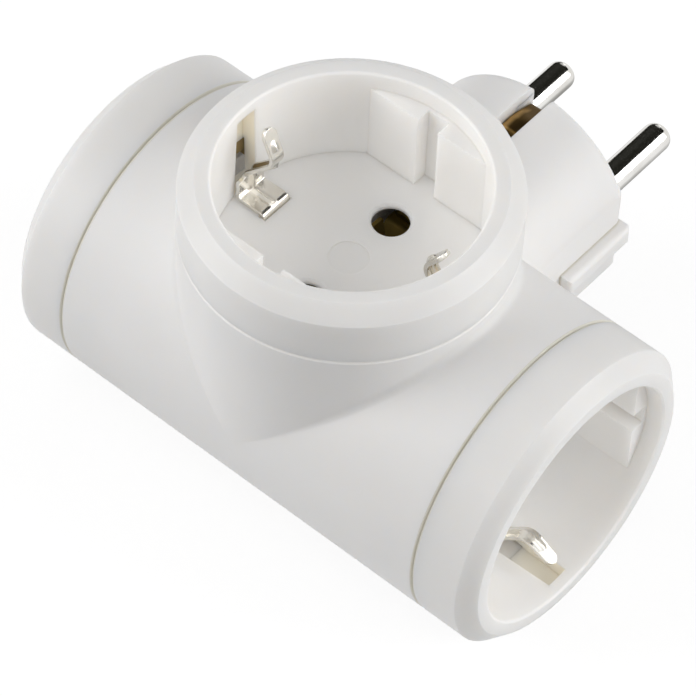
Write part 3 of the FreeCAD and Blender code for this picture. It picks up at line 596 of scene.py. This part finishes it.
def clip_points(left, right, taper):
    """Both clips of a socket and the base between them, on one line from tip to tip. The
    half width falls from the foot to the tongue over a short shoulder, and near the tip it
    follows a circle: the root of the squared half width less the squared distance in from
    the circle's middle. The ridge is a bell curve across the sheet, which starts above the
    foot and ends short of the tip."""
    rise = [(SLOT_OUT, UNDER_FLOOR), (SLOT_OUT, ON_FLOOR), (WALL_OUT, ON_FLOOR), (WALL_OUT, WALL_TOP)]
    corners = [(-out, height) for out, height in (rise + left)[::-1]] + rise + right
    line, even = bent_line(corners, CLIP_BENDS + CLIP_BENDS[::-1], CLIP_STEP)
    to_tip = np.minimum(even, even[-1] - even)
    shoulder = 1 / (1 + np.exp((line[:, 1] - SHOULDER_HEIGHT) / SHOULDER_BLEND))
    half = TONGUE_HALF + (FOOT_HALF - TONGUE_HALF) * shoulder
    half = half - taper * np.clip(1 - to_tip / TAPER_LENGTH, 0.0, 1.0)
    inward = np.clip(TONGUE_HALF - to_tip, 0.0, TONGUE_HALF)
    circle = np.sqrt(np.maximum(TONGUE_HALF ** 2 - inward ** 2, 0.0))
    half = half - (TONGUE_HALF - circle) + TIP_LEFT_OVER
    from_tip = 1 / (1 + np.exp((RIDGE_FROM_TIP - to_tip) / RIDGE_BLEND))
    ridge = (RIDGE_HEIGHT * from_tip * (np.abs(line[:, 0]) > RIDGE_STARTS))[:, None]
    return strip_points(line, half, SHEET, lambda place: ridge * np.exp(-(place / RIDGE_HALF) ** 2))


# Each clip's last two bends, as distance out from the middle and height below the face:
# the tongue's nose, which bows furthest in, and its tip. The end sockets' clips are alike.
TOP_LEFT_CLIP = [(13.7, -7.0), (16.1, -1.5)]
TOP_RIGHT_CLIP = [(14.3, -6.8), (17.5, -2.4)]
END_CLIP = [(14.4, -7.9), (17.1, -2.7)]
top_clip = clip_points(TOP_LEFT_CLIP, TOP_RIGHT_CLIP, taper=0.0)
end_clip = clip_points(END_CLIP, END_CLIP, taper=0.2)
for where, grid in (("top", top_clip), ("left", end_clip), ("right", end_clip)):
    out, across, height = np.moveaxis(closed_strip(grid), -1, 0)
    placed = {
        "top": (out, across + SOCKET_AXIS, height + TOP_FACE),
        "left": (-END_FACE - height, across + SOCKET_AXIS, out),
        "right": (END_FACE + height, across + SOCKET_AXIS, -out),
    }
    mesh = grid_mesh(f"{where}_clips", np.stack(placed[where], axis=-1) * MM, closed_across=True)
    even_normals(fit(f"{where}_clips", mesh, spring_nickel, "spring_nickel", f"{where}_earth_bracket"))


# The bars, links and contacts are brass strip, and brass rivets join them. Only a glint of
# the contacts shows, deep in the pin holes.

BAR_BRASS = (0.27, 0.20, 0.06, 1.0)
CLOUDED_BAR = (0.21, 0.155, 0.045, 1.0)
RIVET_BRASS = (0.66, 0.49, 0.25, 1.0)
CLOUDED_RIVET = (0.50, 0.36, 0.18, 1.0)
bar_brass = polished_metal(
    "bar_brass", BAR_BRASS, CLOUDED_BAR, shine=0.3, marks=(300.0, 60.0, 300.0), strength=0.1
)
rivet_brass = polished_metal(
    "rivet_brass", RIVET_BRASS, CLOUDED_RIVET, shine=0.26, marks=(400.0, 400.0, 400.0), strength=0.2
)
brass_nodes = ["earth_bar"]
for pole in ("live", "neutral"):
    brass_nodes += [f"{pole}_bar", f"{pole}_link"]
    brass_nodes += [f"{pole}_contact_{where}" for where in ("top", "left", "right")]
for node in brass_nodes:
    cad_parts[node].material_slots[0].material = bar_brass
for node in ("live_rivets", "neutral_rivets", "earth_rivets"):
    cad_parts[node].material_slots[0].material = rivet_brass


# The carrier is a grey insulating plate. It slides between the rails inside the tube, and
# the bars are riveted on top of it.

COARSE_GRAIN = 0.06 * MM


def matt_plastic(name, pale, dark):
    """Dull moulded plastic: cloudy tone, even roughness and a coarse grain."""
    material, start, places, shader = new_finish(name)
    clouds = start.noise(places, 90.0, 4.0)
    grain = start.noise(places, 2600.0, 2.0)
    bump = start.add("ShaderNodeBump", {}, {"Strength": 0.25, "Distance": COARSE_GRAIN, "Height": grain})
    plug_in(shader, {
        "Base Color": start.blend(clouds.between(0.35, 0.7), pale, dark),
        "Roughness": 0.55 + 0.15 * grain,
        "Normal": bump,
    })
    return material


CARRIER_GREY = (0.16, 0.165, 0.17, 1.0)
CARRIER_DARK = (0.12, 0.125, 0.13, 1.0)
carrier_plastic = matt_plastic("carrier_plastic", CARRIER_GREY, CARRIER_DARK)
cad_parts["contact_carrier"].material_slots[0].material = carrier_plastic


# The studio: a white table, soft lamps round it, and a dark card behind the pins that
# gives them their black side.

LAMP_DISTANCE = 0.9
LAMP_SIZE = 0.6
MIDDLE = Vector((0.0, -0.0355, 0.006))


def lamp(name, towards, watts):
    """A soft square lamp that looks at the middle of the adapter from this direction."""
    light = bpy.data.lights.new(name, "AREA")
    light.shape = "SQUARE"
    light.size = LAMP_SIZE
    light.energy = watts
    holder = bpy.data.objects.new(name, light)
    bpy.context.scene.collection.objects.link(holder)
    outward = Vector(towards).normalized()
    turned = outward.to_track_quat("Z", "Y").to_matrix().to_4x4()
    holder.matrix_world = Matrix.Translation(MIDDLE + outward * LAMP_DISTANCE) @ turned
    holder.visible_camera = False


lamp("left_front_lamp", (-0.628, -0.628, 0.46), 4.45)
lamp("right_back_lamp", (0.8, 0.424, 0.423), 5.0)
lamp("left_back_lamp", (-0.433, 0.75, 0.5), 0.75)
lamp("high_left_lamp", (-0.366, -0.211, 0.906), 0.75)
lamp("camera_lamp", (0.379, -0.485, 0.788), 0.65)

CARD_RADIUS = 0.6
CARD_FROM, CARD_TO = 54.0, 238.0
CARD_NEAR, CARD_FAR = 0.05, 1.1
CARD_BLACK = (0.03, 0.03, 0.024, 1.0)

# The card is part of a tube round the Y axis, between two angles and two depths.
card_turn = np.radians(np.linspace(CARD_FROM, CARD_TO, 49))
card_turn, card_depth = np.meshgrid(card_turn, np.linspace(CARD_NEAR, CARD_FAR, 3), indexing="ij")
card_x, card_z = CARD_RADIUS * np.cos(card_turn), CARD_RADIUS * np.sin(card_turn)
card_mesh = grid_mesh("dark_card", np.stack([card_x, card_depth, card_z], axis=-1))
card = bpy.data.objects.new("dark_card", card_mesh)
bpy.context.scene.collection.objects.link(card)
black, start, places, shader = new_finish("black_card")
plug_in(shader, {"Base Color": CARD_BLACK, "Roughness": 0.9, "Specular IOR Level": 0.0})
card.data.materials.append(black)
card.visible_camera = False
card.visible_diffuse = False
card.visible_shadow = False


def looked_at(start):
    """One where the ray comes from the camera, a mirror or glass, and zero elsewhere."""
    seen = start.add("ShaderNodeLightPath", {}, {}, "Is Camera Ray")
    mirrored = start.add("ShaderNodeLightPath", {}, {}, "Is Glossy Ray")
    through = start.add("ShaderNodeLightPath", {}, {}, "Is Transmission Ray")
    return seen.or_else(mirrored).or_else(through)


AMBIENT = 0.2
WHITE = (1.0, 1.0, 1.0, 1.0)
world = bpy.data.worlds.new("studio")
bpy.context.scene.world = world
world.use_nodes = True
strength = AMBIENT + (1.0 - AMBIENT) * looked_at(Wire(world.node_tree))
background = world.node_tree.nodes["Background"]
background.inputs["Color"].default_value = WHITE
world.node_tree.links.new(strength.socket, background.inputs["Strength"])

FLOOR_HEIGHT = cad_box[0].z
FLOOR_HALF = 2.5
BETWEEN_PINS = (0.0, 20.0 * MM, FLOOR_HEIGHT)
SHADE_FROM, SHADE_TO = 12.0 * MM, 48.0 * MM
PAINTED_SHADOW = (0.22, 0.22, 0.21, 1.0)
TABLE_GREY = (0.64, 0.64, 0.64, 1.0)
TABLE_SEEN = (0.25, 0.25, 0.25, 1.0)
TABLE_GLOW = 0.82

# The table glows for the rays that look at it, so that it shows white and keeps shadows.
# Close to the pins the table is painted darker for mirror rays only: a painted shadow of the adapter, which
# the pins mirror.
floor_mesh = bpy.data.meshes.new("table")
floor_sides = ((-1, -1), (1, -1), (1, 1), (-1, 1))
floor_corners = [(x * FLOOR_HALF, y * FLOOR_HALF, FLOOR_HEIGHT) for x, y in floor_sides]
floor_mesh.from_pydata(floor_corners, [], [(0, 1, 2, 3)])
floor = bpy.data.objects.new("table", floor_mesh)
bpy.context.scene.collection.objects.link(floor)
paper, start, places, shader = new_finish("white_table")
seen = looked_at(start)
in_mirror = start.add("ShaderNodeLightPath", {}, {}, "Is Glossy Ray")
# Painted shadow: mirror rays see the table darker close to the pins.
from_pins = places.vector("DISTANCE", BETWEEN_PINS, "Value")
mirrored = start.blend(from_pins.between(SHADE_FROM, SHADE_TO), PAINTED_SHADOW, WHITE)
plug_in(shader, {
    "Base Color": start.blend(seen, TABLE_GREY, TABLE_SEEN),
    "Roughness": 0.9,
    "Specular IOR Level": 0.0,
    "Emission Color": start.blend(seen, UNLIT, start.blend(in_mirror, WHITE, mirrored)),
    "Emission Strength": TABLE_GLOW,
})
floor_mesh.materials.append(paper)


# The camera stands where the photograph was taken from: high up, to the right, and on the
# side away from the plug. It is turned so that the pins point up and to the right.

CAMERA_PLACE = (0.24903, -0.35963, 0.51352)
CAMERA_RIGHT = Vector((0.7589, 0.6505, 0.0309))
CAMERA_UP = Vector((-0.528, 0.5869, 0.6138))
CAMERA_BACK = Vector((0.3811, -0.4821, 0.7889))
lens = bpy.data.cameras.new("camera")
lens.sensor_width = 36.0
lens.lens = 227.0
camera = bpy.data.objects.new("camera", lens)
bpy.context.scene.collection.objects.link(camera)
turn = Matrix((CAMERA_RIGHT, CAMERA_UP, CAMERA_BACK)).transposed().to_4x4()
camera.matrix_world = Matrix.Translation(CAMERA_PLACE) @ turn
bpy.context.scene.camera = camera
bpy.context.scene.view_settings.view_transform = "Standard"
